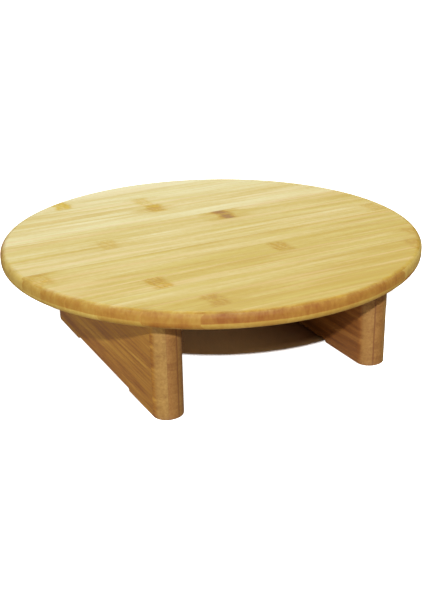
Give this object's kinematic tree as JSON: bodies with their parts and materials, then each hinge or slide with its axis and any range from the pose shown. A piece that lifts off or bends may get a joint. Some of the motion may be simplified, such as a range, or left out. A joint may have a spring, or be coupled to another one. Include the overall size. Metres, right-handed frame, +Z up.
{
  "type": "turntable display stand",
  "caption": "Low round bamboo display stand: a turning disc on a hidden flat ball bearing, carried by a cross board between two upright board legs with rounded ends.",
  "frame": {"origin": "on the floor, on the vertical axis that the disc turns about", "axes": "+Z up along the turning axis, +X across the legs along the grain of the disc, +Y along the legs"},
  "size_m": [0.3, 0.3, 0.084],
  "materials": {
    "bamboo_top": "clear satin lacquer on pale bamboo",
    "bamboo_leg": "thin satin lacquer on darker edge-glued bamboo",
    "bamboo_plain": "sanded bamboo, lightly lacquered",
    "beech_dowel": "raw fluted beech",
    "zinc_sheet": "zinc-plated pressed sheet",
    "ball_steel": "polished, lightly greased",
    "zinc_screw": "zinc-plated"
  },
  "bodies": {
    "stand": {"cross_board": "bamboo_plain", "leg_left": "bamboo_leg", "leg_right": "bamboo_leg", "bearing_lower_plate": "zinc_sheet", "bearing_eyelet": "zinc_sheet", "dowel_left_1": "beech_dowel", "dowel_left_2": "beech_dowel", "dowel_left_3": "beech_dowel", "dowel_right_1": "beech_dowel", "dowel_right_2": "beech_dowel", "dowel_right_3": "beech_dowel", "lower_plate_screw_1": "zinc_screw", "lower_plate_screw_2": "zinc_screw", "lower_plate_screw_3": "zinc_screw", "lower_plate_screw_4": "zinc_screw"},
    "turning_top": {"top_disc": "bamboo_top", "bearing_upper_plate": "zinc_sheet", "upper_plate_screw_1": "zinc_screw", "upper_plate_screw_2": "zinc_screw", "upper_plate_screw_3": "zinc_screw", "upper_plate_screw_4": "zinc_screw"},
    "ball_ring": {"bearing_balls": "ball_steel"}
  },
  "joints": [
    {"name": "top_spin", "type": "hinge", "parent": "stand", "child": "turning_top", "pos_m": [0, 0, 0.068], "axis": [0, 0, 1], "continuous": true},
    {"name": "ball_ring_spin", "type": "hinge", "parent": "stand", "child": "ball_ring", "pos_m": [0, 0, 0.068], "axis": [0, 0, 1], "continuous": true}
  ],
  "couplings": [
    {"joint": "ball_ring_spin", "follows": "top_spin", "ratio": 0.5}
  ]
}
